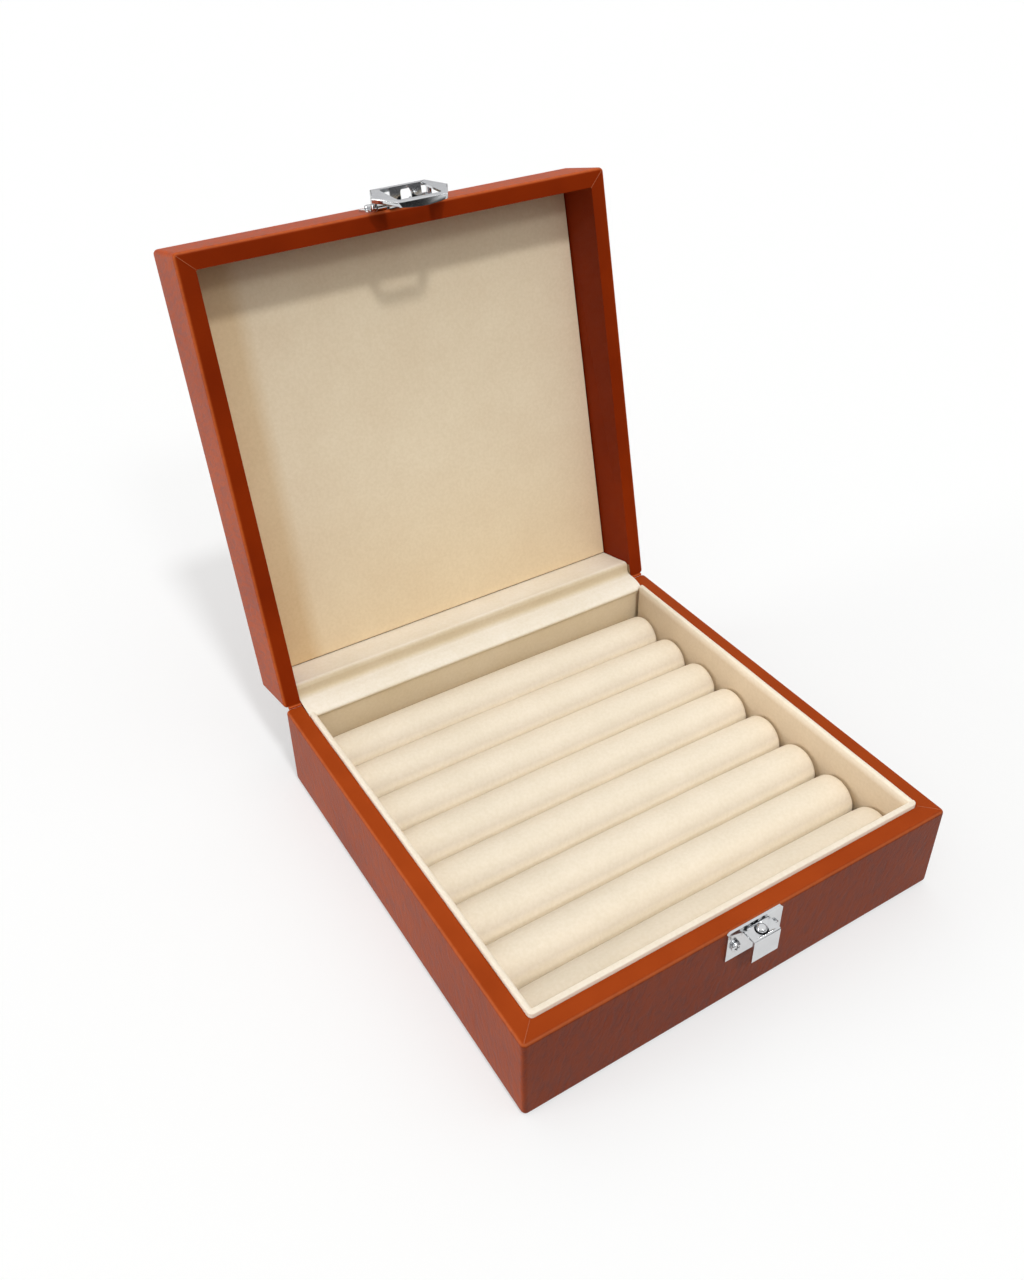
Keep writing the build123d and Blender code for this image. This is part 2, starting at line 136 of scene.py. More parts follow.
floor_finish = bpy.data.materials.new("matt_white_table")
floor_finish.use_nodes = True
tree = floor_finish.node_tree
tree.nodes.clear()
seen = add_node(tree, "ShaderNodeLightPath")
bright = add_node(
    tree,
    "ShaderNodeMath",
    {"operation": "MAXIMUM"},
    {0: seen.outputs["Is Camera Ray"], 1: seen.outputs["Is Glossy Ray"]},
)
shade = add_node(
    tree,
    "ShaderNodeMix",
    {"data_type": "RGBA", 6: linear("#686562"), 7: linear("#F8FAFB")},
    {0: bright.outputs[0]},
)
ground = add_node(tree, "ShaderNodeTexCoord")
away = add_node(tree, "ShaderNodeSeparateXYZ", links={0: ground.outputs["Object"]})
beyond = add_node(
    tree,
    "ShaderNodeMapRange",
    {"From Min": dark_floor_from, "From Max": dark_floor_by},
    {"Value": away.outputs["Y"]},
)
far_glint = add_node(
    tree,
    "ShaderNodeMath",
    {"operation": "MULTIPLY"},
    {0: beyond.outputs[0], 1: seen.outputs["Is Glossy Ray"]},
)
dimmed = add_node(
    tree,
    "ShaderNodeMix",
    {"data_type": "RGBA", 7: linear("#121214")},
    {0: far_glint.outputs[0], 6: shade.outputs[2]},
)
paint = add_node(tree, "ShaderNodeBsdfDiffuse", links={"Color": dimmed.outputs[2]})
lift = add_node(tree, "ShaderNodeEmission", {"Color": linear("#FFFFFF"), "Strength": 1.0})
near = add_node(
    tree, "ShaderNodeMath", {"operation": "SUBTRACT"}, {0: bright.outputs[0], 1: far_glint.outputs[0]}
)
lift_share = add_node(tree, "ShaderNodeMath", {"operation": "MULTIPLY", 1: floor_lift}, {0: near.outputs[0]})
table = add_node(
    tree, "ShaderNodeMixShader", links={0: lift_share.outputs[0], 1: paint.outputs[0], 2: lift.outputs[0]}
)
add_node(tree, "ShaderNodeOutputMaterial", links={"Surface": table.outputs[0]})
floor.data.materials.append(floor_finish)

world = bpy.data.worlds.new("studio")
bpy.context.scene.world = world
world.use_nodes = True
tree = world.node_tree
tree.nodes.clear()
direction = add_node(tree, "ShaderNodeTexCoord")
height = add_node(tree, "ShaderNodeSeparateXYZ", links={0: direction.outputs["Generated"]})
ceiling = add_node(
    tree,
    "ShaderNodeMapRange",
    {"From Min": 0.0, "From Max": 1.0, "To Min": 0.20, "To Max": 0.90},
    {"Value": height.outputs[2]},
)
mirrored = add_node(tree, "ShaderNodeValToRGB", links={"Fac": height.outputs[2]})
mirrored.color_ramp.elements[0].position = 0.06
mirrored.color_ramp.elements[0].color = linear("#1C1C1E")
mirrored.color_ramp.elements[1].position = 0.90
mirrored.color_ramp.elements[1].color = linear("#FFFFFF")
mirrored.color_ramp.elements.new(0.16).color = linear("#4A4A4C")
mirrored.color_ramp.elements.new(0.23).color = linear("#E2E2E4")
room = add_node(tree, "ShaderNodeBackground", {"Color": linear("#FFFDFA")}, {"Strength": ceiling.outputs[0]})
glints = add_node(tree, "ShaderNodeBackground", links={"Color": mirrored.outputs["Color"]})
backdrop = add_node(tree, "ShaderNodeBackground", {"Color": linear("#FFFFFF"), "Strength": 1.0})
seen = add_node(tree, "ShaderNodeLightPath")
lit = add_node(
    tree,
    "ShaderNodeMixShader",
    links={0: seen.outputs["Is Glossy Ray"], 1: room.outputs[0], 2: glints.outputs[0]},
)
sky = add_node(
    tree,
    "ShaderNodeMixShader",
    links={0: seen.outputs["Is Camera Ray"], 1: lit.outputs[0], 2: backdrop.outputs[0]},
)
add_node(tree, "ShaderNodeOutputWorld", links={"Surface": sky.outputs[0]})


def add_sun(name, azimuth, elevation, share, spread):
    """A soft far lamp. Azimuth 0 is in front and 90 on the right; share is what it adds to white."""
    lamp = bpy.data.lights.new(name, "SUN")
    lamp.energy = share * math.pi
    lamp.angle = math.radians(spread)
    a, e = math.radians(azimuth), math.radians(elevation)
    back = Vector((math.sin(a) * math.cos(e), -math.cos(a) * math.cos(e), math.sin(e)))
    sun = bpy.data.objects.new(name, lamp)
    bpy.context.scene.collection.objects.link(sun)
    sun.rotation_mode = "QUATERNION"
    sun.rotation_quaternion = back.to_track_quat("Z", "Y")


add_sun("front_light", azimuth=-3, elevation=60, share=0.32, spread=6)
add_sun("low_front_light", azimuth=-3, elevation=40, share=0.10, spread=9)
add_sun("left_light", azimuth=-106, elevation=7, share=0.43, spread=24)


# Leather cases
# The base and the lid are fibreboard trays wrapped in orange-brown imitation leather: polyurethane
# on cloth, embossed with a fine grain and waxed. It is glued on, and turned in at the rim.


def pick(piece):
    """Makes one object the only selected one, and the active one."""
    bpy.ops.object.select_all(action="DESELECT")
    piece.select_set(True)
    bpy.context.view_layer.objects.active = piece


def smooth_copy(node, name, crease):
    """A merged and smoothly shaded copy of a solid, which then stands for it on the same body."""
    source = frame["nodes"][node]
    piece = bpy.data.objects.new(name, source.data.copy())
    bpy.context.scene.collection.objects.link(piece)
    pick(piece)
    bpy.ops.object.mode_set(mode="EDIT")
    bpy.ops.mesh.select_all(action="SELECT")
    bpy.ops.mesh.remove_doubles(threshold=0.000002)
    bpy.ops.object.mode_set(mode="OBJECT")
    bpy.ops.object.shade_smooth_by_angle(angle=math.radians(crease))
    flat = piece.modifiers.new("flat_faces_stay_flat", "WEIGHTED_NORMAL")
    flat.weight = 100
    flat.keep_sharp = True
    bpy.ops.object.modifier_apply(modifier=flat.name)
    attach(piece, source["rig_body"])
    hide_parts(node)
    return piece


def start_material(name, roughness):
    """A new material with one Principled shader, ready for its nodes."""
    made = bpy.data.materials.new(name)
    made.use_nodes = True
    shader = made.node_tree.nodes["Principled BSDF"]
    shader.inputs["Roughness"].default_value = roughness
    return made, made.node_tree, shader


def dress(piece, finish):
    """Gives a piece its one material."""
    piece.data.materials.clear()
    piece.data.materials.append(finish)


lid_joint = next(joint for joint in frame["joints"] if joint["name"] == "lid_hinge")
hinge_place = Vector(lid_joint["pos_m"])
opening_angle = math.radians(lid_joint["range_deg"][1])
rim_height = hinge_place.z
shut_to_open = (
    Matrix.Translation(hinge_place)
    @ Matrix.Rotation(-opening_angle, 4, "X")
    @ Matrix.Translation(-hinge_place)
)

case_half_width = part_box("base_leather")[1].x
leather_grain = 0.0010
leather_crease_width = 0.0021
leather_crease_length = 0.0120
leather_crease_slant = math.radians(17)
leather_cloud = 0.040
side_start = case_half_width - 0.0014
side_end = case_half_width - 0.0004
# Where a painted highlight lies along the rounded outer edge of the rim.
highlight_start = case_half_width - 0.0025
highlight_end = case_half_width - 0.0015
edge_highlight = 0.42
out_of_reach = 1.0


def imitation_leather(name, rim_colours, side_colours, painted_front_shade, rim_up, stand, turn, cap):
    """Waxed orange-brown imitation leather. The rim and the inside are smooth and deep in colour,
    the outer sides are duller with fine slanted wrinkles, the front is painted darker as painted
    shade, and a painted highlight lies along the rounded outer edge. The pattern is laid out on
    the shut box, where all that lies as high as cap is outside too."""
    made, tree, shader = start_material(name, 0.46)
    place = add_node(tree, "ShaderNodeTexCoord")
    shut = add_node(
        tree,
        "ShaderNodeMapping",
        {"vector_type": "TEXTURE", "Location": stand, "Rotation": (turn, 0, 0)},
        {"Vector": place.outputs["Object"]},
    )
    axes = add_node(tree, "ShaderNodeSeparateXYZ", links={0: shut.outputs[0]})
    reach = [
        add_node(tree, "ShaderNodeMath", {"operation": "ABSOLUTE"}, {0: axes.outputs[axis]}) for axis in "XY"
    ]
    above = add_node(tree, "ShaderNodeMath", {"operation": "ADD", 1: side_end - cap}, {0: axes.outputs["Z"]})
    across = add_node(
        tree, "ShaderNodeMath", {"operation": "MAXIMUM"}, {0: reach[0].outputs[0], 1: reach[1].outputs[0]}
    )
    outermost = add_node(
        tree, "ShaderNodeMath", {"operation": "MAXIMUM"}, {0: across.outputs[0], 1: above.outputs[0]}
    )
    side = add_node(
        tree,
        "ShaderNodeMapRange",
        {"From Min": side_start, "From Max": side_end},
        {"Value": outermost.outputs[0]},
    )
    clouds = add_node(
        tree,
        "ShaderNodeTexNoise",
        {"Scale": 1 / leather_cloud, "Detail": 3.0, "Roughness": 0.55},
        {"Vector": shut.outputs[0]},
    )
    tones = []
    for light, dark in (rim_colours, side_colours):
        tone = add_node(tree, "ShaderNodeValToRGB", links={"Fac": clouds.outputs["Fac"]})
        tone.color_ramp.elements[0].position = 0.30
        tone.color_ramp.elements[0].color = linear(dark)
        tone.color_ramp.elements[1].position = 0.70
        tone.color_ramp.elements[1].color = linear(light)
        tones.append(tone)
    skin = add_node(
        tree,
        "ShaderNodeMix",
        {"data_type": "RGBA"},
        {0: side.outputs[0], 6: tones[0].outputs["Color"], 7: tones[1].outputs["Color"]},
    )
    slanted = add_node(
        tree,
        "ShaderNodeMapping",
        {
            "vector_type": "TEXTURE",
            "Rotation": (-leather_crease_slant, leather_crease_slant, 0),
            "Scale": (leather_crease_width, leather_crease_width, leather_crease_length),
        },
        {"Vector": shut.outputs[0]},
    )
    creases = add_node(
        tree,
        "ShaderNodeTexNoise",
        {"Scale": 1.0, "Detail": 4.0, "Roughness": 0.60, "Distortion": 0.7},
        {"Vector": slanted.outputs[0]},
    )
    waxed = add_node(tree, "ShaderNodeValToRGB", links={"Fac": creases.outputs["Fac"]})
    waxed.color_ramp.elements[0].position = 0.34
    waxed.color_ramp.elements[0].color = linear("#DCD1CB")
    waxed.color_ramp.elements[1].position = 0.58
    waxed.color_ramp.elements[1].color = linear("#FFFFFF")
    wrinkled = add_node(
        tree,
        "ShaderNodeMix",
        {"data_type": "RGBA", "blend_type": "MULTIPLY"},
        {0: side.outputs[0], 6: skin.outputs[2], 7: waxed.outputs["Color"]},
    )
    # Painted shade: the front face is multiplied by a darker colour.
    front = add_node(
        tree,
        "ShaderNodeMapRange",
        {"From Min": -side_start, "From Max": -side_end},
        {"Value": axes.outputs["Y"]},
    )
    fronted = add_node(
        tree,
        "ShaderNodeMix",
        {"data_type": "RGBA", "blend_type": "MULTIPLY", 7: linear(painted_front_shade)},
        {0: front.outputs[0], 6: wrinkled.outputs[2]},
    )
    facing = add_node(
        tree, "ShaderNodeVectorMath", {"operation": "DOT_PRODUCT", 1: rim_up}, {0: place.outputs["Normal"]}
    )
    rounding = add_node(tree, "ShaderNodeValToRGB", links={"Fac": facing.outputs["Value"]})
    rounding.color_ramp.elements[0].position = 0.30
    rounding.color_ramp.elements[0].color = linear("#000000")
    rounding.color_ramp.elements[1].position = 0.97
    rounding.color_ramp.elements[1].color = linear("#000000")
    rounding.color_ramp.elements.new(0.55).color = linear("#FFFFFF")
    rounding.color_ramp.elements.new(0.80).color = linear("#FFFFFF")
    at_edge = add_node(
        tree,
        "ShaderNodeMapRange",
        {"From Min": highlight_start, "From Max": highlight_end, "To Max": edge_highlight},
        {"Value": across.outputs[0]},
    )
    edge = add_node(
        tree,
        "ShaderNodeMath",
        {"operation": "MULTIPLY"},
        {0: at_edge.outputs[0], 1: rounding.outputs["Color"]},
    )
    # Painted highlight: the rounded outer edge is mixed towards a lighter orange.
    colour = add_node(
        tree,
        "ShaderNodeMix",
        {"data_type": "RGBA", 7: linear("#CC6A36")},
        {0: edge.outputs[0], 6: fronted.outputs[2]},
    )
    tree.links.new(colour.outputs[2], shader.inputs["Base Color"])
    haze = add_node(tree, "ShaderNodeMapRange", {"To Min": 0.06, "To Max": 0.17}, {"Value": side.outputs[0]})
    tree.links.new(haze.outputs[0], shader.inputs["Specular IOR Level"])
    gloss = add_node(
        tree,
        "ShaderNodeMapRange",
        {"From Min": 0.3, "From Max": 0.7, "To Min": 0.42, "To Max": 0.52},
        {"Value": creases.outputs["Fac"]},
    )
    tree.links.new(gloss.outputs[0], shader.inputs["Roughness"])
    folds = add_node(
        tree, "ShaderNodeMath", {"operation": "MULTIPLY"}, {0: side.outputs[0], 1: creases.outputs["Fac"]}
    )
    grain = add_node(
        tree,
        "ShaderNodeTexVoronoi",
        {"feature": "SMOOTH_F1", "Scale": 1 / leather_grain, "Smoothness": 0.6},
        {"Vector": shut.outputs[0]},
    )
    coarse = add_node(
        tree, "ShaderNodeBump", {"Strength": 0.5, "Distance": 0.0004}, {"Height": folds.outputs[0]}
    )
    fine = add_node(
        tree,
        "ShaderNodeBump",
        {"Strength": 0.25, "Distance": 0.00010},
        {"Height": grain.outputs["Distance"], "Normal": coarse.outputs[0]},
    )
    tree.links.new(fine.outputs[0], shader.inputs["Normal"])
    return made


# The base's front is painted darker, as painted shade.
base_leather = imitation_leather(
    "waxed_imitation_leather",
    rim_colours=("#A64414", "#983B0E"),
    side_colours=("#AE480F", "#9E3D09"),
    painted_front_shade="#CFCBC7",
    rim_up=(0, 0, 1),
    stand=(0, 0, 0),
    turn=0,
    cap=out_of_reach,
)
open_to_shut = shut_to_open.inverted()
lid_cap = max((open_to_shut @ vertex.co).z for vertex in frame["nodes"]["lid_leather"].data.vertices)
# The lid's rim and inside are given darker colours than the base's, as painted shade, and its outer sides
# lighter ones, as painted light.
lid_leather = imitation_leather(
    "waxed_imitation_leather_of_lid",
    rim_colours=("#912E03", "#822602"),
    side_colours=("#C04F0D", "#B14409"),
    painted_front_shade="#FFFFFF",
    rim_up=shut_to_open.to_3x3() @ Vector((0, 0, -1)),
    stand=shut_to_open @ Vector((0, 0, rim_height)),
    turn=-opening_angle,
    cap=lid_cap - rim_height,
)
for node, leather in (
    ("base_leather", base_leather),
    ("lid_leather", lid_leather),
    ("leather_hinge", base_leather),
):
    case = smooth_copy(node, node + "_wrap", crease=24)
    dress(case, leather)


# Inner corners of the base
# The leather is turned over the rim and down into the base. It can't be folded sharp there, so in
# the two front corners of the mouth it is pressed into a small round.

mouth_half_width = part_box("leather_hinge")[1].x
base_rim_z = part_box("base_leather")[1].z
corner_radius = 0.0022
corner_depth = 0.0080
corner_below_rim = 0.00015
for side, word in ((-1, "left"), (1, "right")):
    centre = Vector((side * (mouth_half_width - corner_radius), -(mouth_half_width - corner_radius), 0))
    top = base_rim_z - corner_below_rim
    bpy.ops.object.select_all(action="DESELECT")
    bpy.ops.mesh.primitive_cylinder_add(
        vertices=64, radius=corner_radius, depth=4 * corner_depth, location=(centre.x, centre.y, top)
    )
    bore = bpy.context.object
    bpy.ops.mesh.primitive_cube_add(
        size=1,
        location=(centre.x + side * corner_radius / 2, centre.y - corner_radius / 2, top - corner_depth / 2),
    )
    filling = bpy.context.object
    filling.name = f"base_{word}_inner_corner"
    filling.scale = (corner_radius, corner_radius, corner_depth)
    bpy.ops.object.transform_apply(location=True, rotation=True, scale=True)
    cut = filling.modifiers.new("round_inner_corner", "BOOLEAN")
    cut.operation = "DIFFERENCE"
    cut.object = bore
    cut.solver = "EXACT"
    bpy.ops.object.modifier_apply(modifier=cut.name)
    bpy.data.objects.remove(bore)
    bpy.ops.object.shade_smooth_by_angle(angle=math.radians(30))
    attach(filling, "base")
    dress(filling, base_leather)


# Ends of the leather hinge's fold
# The strip that joins the cases at the back is folded on the hinge line. At each end the fold is
# tucked between the two rims, where it shows as a small rounded bead of leather.

fold_radius = 0.0007
fold_end_x = case_half_width - 0.0016
fold_end_rounding = 0.0004
for side, word in ((-1, "left"), (1, "right")):
    bpy.ops.object.select_all(action="DESELECT")
    bpy.ops.mesh.primitive_cylinder_add(
        vertices=24,
        radius=fold_radius,
        depth=fold_end_x - mouth_half_width,
        location=(side * (fold_end_x + mouth_half_width) / 2, hinge_place.y, hinge_place.z),
        rotation=(0, math.pi / 2, 0),
    )
    fold = bpy.context.object
    fold.name = f"leather_hinge_{word}_fold_end"
    bpy.ops.object.transform_apply(location=True, rotation=True, scale=True)
    bevel = fold.modifiers.new("turned_end", "BEVEL")
    bevel.width = fold_end_rounding
    bevel.segments = 3
    bevel.limit_method = "ANGLE"
    bevel.angle_limit = math.radians(40)
    bpy.ops.object.modifier_apply(modifier=bevel.name)
    bpy.ops.object.shade_smooth_by_angle(angle=math.radians(40))
    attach(fold, "base")
    dress(fold, lid_leather)


# Mitre seams
# Where two strips of leather meet at 45 degrees on a front corner of the rim, the upper one's cut
# edge stands proud. It is the same leather, and its skived edge is paler.

seam_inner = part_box("hinge_cloth_on_base")[1].x
seam_outer = case_half_width - 0.0012
seam_width = 0.00030
seam_height = 0.00013
skived_fibre = 0.0008


def mitre_seam(name, side, upward):
    """A thin ridge of leather across the rim at a front corner, drawn on the shut box."""
    length = (seam_outer - seam_inner) * math.sqrt(2)
    middle = (seam_inner + seam_outer) / 2
    rim = base_rim_z if upward else 2 * rim_height - base_rim_z
    bpy.ops.object.select_all(action="DESELECT")
    bpy.ops.mesh.primitive_cube_add(
        size=1, location=(side * middle, -middle, rim), rotation=(0, 0, -side * math.pi / 4)
    )
    seam = bpy.context.object
    seam.name = name
    seam.scale = (length, seam_width, 2 * seam_height)
    bpy.ops.object.transform_apply(location=True, rotation=True, scale=True)
    bpy.ops.object.mode_set(mode="EDIT")
    bpy.ops.mesh.select_all(action="SELECT")
    bpy.ops.mesh.bevel(offset=seam_height * 0.6, segments=3)
    bpy.ops.object.mode_set(mode="OBJECT")
    bpy.ops.object.shade_smooth_by_angle(angle=math.radians(60))
    return seam


def skived_edge():
    """The cut edge of the imitation leather, where its fibres show paler than its face."""
    made, tree, shader = start_material("skived_leather_edge", 0.6)
    place = add_node(tree, "ShaderNodeTexCoord")
    fibre = add_node(
        tree,
        "ShaderNodeTexNoise",
        {"Scale": 1 / skived_fibre, "Detail": 3.0},
        {"Vector": place.outputs["Object"]},
    )
    tone = add_node(tree, "ShaderNodeValToRGB", links={"Fac": fibre.outputs["Fac"]})
    tone.color_ramp.elements[0].color = linear("#93380E")
    tone.color_ramp.elements[1].color = linear("#BC6232")
    tree.links.new(tone.outputs["Color"], shader.inputs["Base Color"])
    return made


seam_finish = skived_edge()
for side, word in ((-1, "left"), (1, "right")):
    seam = mitre_seam(f"base_{word}_mitre_seam", side, True)
    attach(seam, "base")
    dress(seam, seam_finish)
    seam = mitre_seam(f"lid_{word}_mitre_seam", side, False)
    seam.data.transform(shut_to_open)
    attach(seam, "lid")
    dress(seam, seam_finish)


# Boards and cards
# The fibreboard under the leather and the grey card under the velvet. Nothing of them shows on the
# finished box; they are raw.

board_fibre = 0.0012
card_fibre = 0.0020


def raw_board(name, light, dark, fibre_size):
    """Raw pressed fibre with no finish, dull and speckled. Its clumps are drawn coarser than real."""
    made, tree, shader = start_material(name, 0.9)
    place = add_node(tree, "ShaderNodeTexCoord")
    fibre = add_node(
        tree,
        "ShaderNodeTexNoise",
        {"Scale": 1 / fibre_size, "Detail": 6.0},
        {"Vector": place.outputs["Object"]},
    )
    tone = add_node(tree, "ShaderNodeValToRGB", links={"Fac": fibre.outputs["Fac"]})
    tone.color_ramp.elements[0].position = 0.35
    tone.color_ramp.elements[0].color = linear(dark)
    tone.color_ramp.elements[1].position = 0.65
    tone.color_ramp.elements[1].color = linear(light)
    tree.links.new(tone.outputs["Color"], shader.inputs["Base Color"])
    bump = add_node(
        tree, "ShaderNodeBump", {"Strength": 0.3, "Distance": 0.0001}, {"Height": fibre.outputs["Fac"]}
    )
    tree.links.new(bump.outputs[0], shader.inputs["Normal"])
    return made


fibreboard_finish = raw_board("raw_fibreboard", "#B59A78", "#96795A", board_fibre)
card_finish = raw_board("grey_card", "#A39C90", "#8B8479", card_fibre)
for node, solid in frame["nodes"].items():
    if node.endswith("_board"):
        solid.data.materials.clear()
        solid.data.materials.append(fibreboard_finish)
    if node.endswith("_card"):
        solid.data.materials.clear()
        solid.data.materials.append(card_finish)


# Underside
# A dark brown cloth glued over the turned-in leather, so that the box doesn't scratch a table. It
# is non-woven, pressed from short fibres.

felt_clump = 0.0015


def backing_cloth():
    """Thin non-woven backing cloth: dull and faintly mottled, where its fibres clump."""
    made, tree, shader = start_material("non_woven_backing_cloth", 0.95)
    place = add_node(tree, "ShaderNodeTexCoord")
    felt = add_node(
        tree,
        "ShaderNodeTexNoise",
        {"Scale": 1 / felt_clump, "Detail": 5.0},
        {"Vector": place.outputs["Object"]},
    )
    tone = add_node(tree, "ShaderNodeValToRGB", links={"Fac": felt.outputs["Fac"]})
    tone.color_ramp.elements[0].color = linear("#3A2A1F")
    tone.color_ramp.elements[1].color = linear("#5A4536")
    tree.links.new(tone.outputs["Color"], shader.inputs["Base Color"])
    bump = add_node(
        tree, "ShaderNodeBump", {"Strength": 0.4, "Distance": 0.0002}, {"Height": felt.outputs["Fac"]}
    )
    tree.links.new(bump.outputs[0], shader.inputs["Normal"])
    return made


underside = smooth_copy("underside_cloth", "underside_cloth_sheet", crease=24)
dress(underside, backing_cloth())


# Collar walls
# The velvet over the cards that stand round the tray at the front and the sides. It is drawn over
# the card's top edge, so that edge is soft and round, and it wavers a little: the same each run.

pile_tuft = 0.0006
pile_fleck = 0.0014
cream_cloud = 0.018


def velvet(name, light, dark, cloud, shaded_places=(), shade="#FFFFFF"):
    """Short-pile velvet: matt, with a soft sheen at grazing angles and a faintly clouded nap, flecked
    where tufts lean together. Real tufts are too fine to show, so they are drawn about twice as
    coarse. Shade is painted into the colour at given places: each place is given by one or two
    limits, which are an axis, where the painted shade starts along it and where it is full."""
    made, tree, shader = start_material(name, 0.92)
    shader.inputs["Sheen Weight"].default_value = 0.35
    shader.inputs["Sheen Roughness"].default_value = 0.45
    shader.inputs["Sheen Tint"].default_value = linear("#FFF6E8")
    shader.inputs["Specular IOR Level"].default_value = 0.2
    place = add_node(tree, "ShaderNodeTexCoord")
    axes = add_node(tree, "ShaderNodeSeparateXYZ", links={0: place.outputs["Object"]})
    nap = add_node(
        tree,
        "ShaderNodeTexNoise",
        {"Scale": 1 / cloud, "Detail": 4.0, "Roughness": 0.6},
        {"Vector": place.outputs["Object"]},
    )
    tuft = add_node(
        tree,
        "ShaderNodeTexNoise",
        {"Scale": 1 / pile_tuft, "Detail": 2.0},
        {"Vector": place.outputs["Object"]},
    )
    tone = add_node(tree, "ShaderNodeValToRGB", links={"Fac": nap.outputs["Fac"]})
    tone.color_ramp.elements[0].position = 0.30
    tone.color_ramp.elements[0].color = linear(dark)
    tone.color_ramp.elements[1].position = 0.70
    tone.color_ramp.elements[1].color = linear(light)
    fleck = add_node(
        tree,
        "ShaderNodeTexNoise",
        {"Scale": 1 / pile_fleck, "Detail": 3.0},
        {"Vector": place.outputs["Object"]},
    )
    flecked = add_node(tree, "ShaderNodeValToRGB", links={"Fac": fleck.outputs["Fac"]})
    flecked.color_ramp.elements[0].position = 0.35
    flecked.color_ramp.elements[0].color = linear("#FAF9F6")
    flecked.color_ramp.elements[1].position = 0.65
    flecked.color_ramp.elements[1].color = linear("#FFFFFF")
    soft = add_node(
        tree,
        "ShaderNodeMix",
        {"data_type": "RGBA", "blend_type": "MULTIPLY", 0: 1.0},
        {6: tone.outputs["Color"], 7: flecked.outputs["Color"]},
    )
    colour = soft.outputs[2]
    # Painted shade: at each place the colour is multiplied by the shade colour.
    for limits in shaded_places:
        share = None
        for axis, start, full in limits:
            ramp = add_node(
                tree,
                "ShaderNodeMapRange",
                {"From Min": start, "From Max": full},
                {"Value": axes.outputs[axis]},
            )
            if share:
                ramp = add_node(
                    tree, "ShaderNodeMath", {"operation": "MINIMUM"}, {0: share, 1: ramp.outputs[0]}
                )
            share = ramp.outputs[0]
        darker = add_node(
            tree,
            "ShaderNodeMix",
            {"data_type": "RGBA", "blend_type": "MULTIPLY", 7: linear(shade)},
            {0: share, 6: colour},
        )
        colour = darker.outputs[2]
    tree.links.new(colour, shader.inputs["Base Color"])
    bump = add_node(
        tree, "ShaderNodeBump", {"Strength": 0.25, "Distance": 0.00015}, {"Height": tuft.outputs["Fac"]}
    )
    tree.links.new(bump.outputs[0], shader.inputs["Normal"])
    return made


def choose_edges(piece, wanted):
    """Opens the active piece for editing, with only the edges chosen that pass the given test."""
    bpy.ops.object.mode_set(mode="EDIT")
    bpy.ops.mesh.select_mode(type="EDGE")
    bpy.ops.mesh.select_all(action="DESELECT")
    bpy.ops.object.mode_set(mode="OBJECT")
    for edge in piece.data.edges:
        start, end = (piece.data.vertices[index].co for index in edge.vertices)
        edge.select = wanted(start, end)
    bpy.ops.object.mode_set(mode="EDIT")


collar_edge = 0.0009
collar_waver = 0.00008
collar_waver_length = 0.022
collar_waver_seed = 8
collar_lap = 0.0012
collar_corner = 0.0020
# Inside the tray, below the rim, the collar velvet is painted darker, as painted shade.
collar_shade_start = base_rim_z + 0.0002
collar_shade_full = base_rim_z - 0.0028
collar_velvet = velvet(
    "cream_velvet_on_the_collar",
    "#F7EDDC",
    "#F2E7D5",
    cream_cloud,
    shaded_places=((("Z", collar_shade_start, collar_shade_full),),),
    shade="#E7DDD0",
)

noise.seed_set(collar_waver_seed)
for word in ("front", "left", "right"):
    low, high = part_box(f"collar_{word}_velvet")
    if word != "front":
        low.y -= collar_lap
    bpy.ops.object.select_all(action="DESELECT")
    bpy.ops.mesh.primitive_cube_add(size=1, location=(low + high) / 2)
    wall = bpy.context.object
    wall.name = f"collar_{word}_cover"
    wall.scale = high - low
    bpy.ops.object.transform_apply(location=True, rotation=True, scale=True)
    if word == "front":
        choose_edges(wall, lambda a, b: abs(a.z - b.z) > collar_corner and a.y < (low.y + high.y) / 2)
        bpy.ops.mesh.bevel(offset=collar_corner, segments=8)
        bpy.ops.object.mode_set(mode="OBJECT")
    choose_edges(wall, lambda a, b: (a - b).length > case_half_width)
    bpy.ops.mesh.subdivide(number_cuts=40)
    bpy.ops.object.mode_set(mode="OBJECT")
    bevel = wall.modifiers.new("soft_edge", "BEVEL")
    bevel.width = collar_edge
    bevel.segments = 4
    bevel.limit_method = "ANGLE"
    bpy.ops.object.modifier_apply(modifier=bevel.name)
    for vertex in wall.data.vertices:
        sway = noise.noise_vector(vertex.co / collar_waver_length) * collar_waver
        vertex.co += Vector((sway.x, sway.y, sway.z if vertex.co.z > rim_height else 0))
    bpy.ops.object.shade_smooth_by_angle(angle=math.radians(40))
    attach(wall, "base")
    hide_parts(f"collar_{word}_velvet")
    dress(wall, collar_velvet)


# Ring rolls
# Eight foam cores in velvet tubes, side by side, glued to a card. The grooves between them grip the
# rings. The velvet is gathered over each end into a round shoulder and closed with a disc.

roll_shoulder = 0.0028
roll_swell = 0.0005
roll_end_taper = 0.0006
roll_lumps = 0.00012
lump_length = 0.030
lump_width = 0.012
next_lumps = 7.3
# From roll_flank_start to roll_flank_end below the crest the rolls' velvet is painted darker, as painted
# shade.
roll_flank_start = 0.0015
roll_flank_full = 0.0047
roll_flank_end = 0.0068
disc_rounding = 0.0002
roll_low, roll_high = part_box("ring_roll_1_velvet")
roll_radius = (roll_high.y - roll_low.y) / 2
roll_half_length = roll_high.x
roll_axis_z = roll_high.z - roll_radius
roll_seat_z = roll_low.z
roll_velvet = velvet(
    "cream_velvet_on_the_rolls",
    "#F3E8D5",
    "#EEE3CF",
    cream_cloud,
    shaded_places=(
        (
            ("Z", roll_high.z - roll_flank_start, roll_high.z - roll_flank_full),
            ("Z", roll_high.z - roll_flank_end, roll_high.z - roll_flank_full),
        ),
    ),
    shade="#F2F1F2",
)
disc_velvet = velvet("cream_short_pile_velvet", "#F5EAD7", "#F0E4D0", cream_cloud)

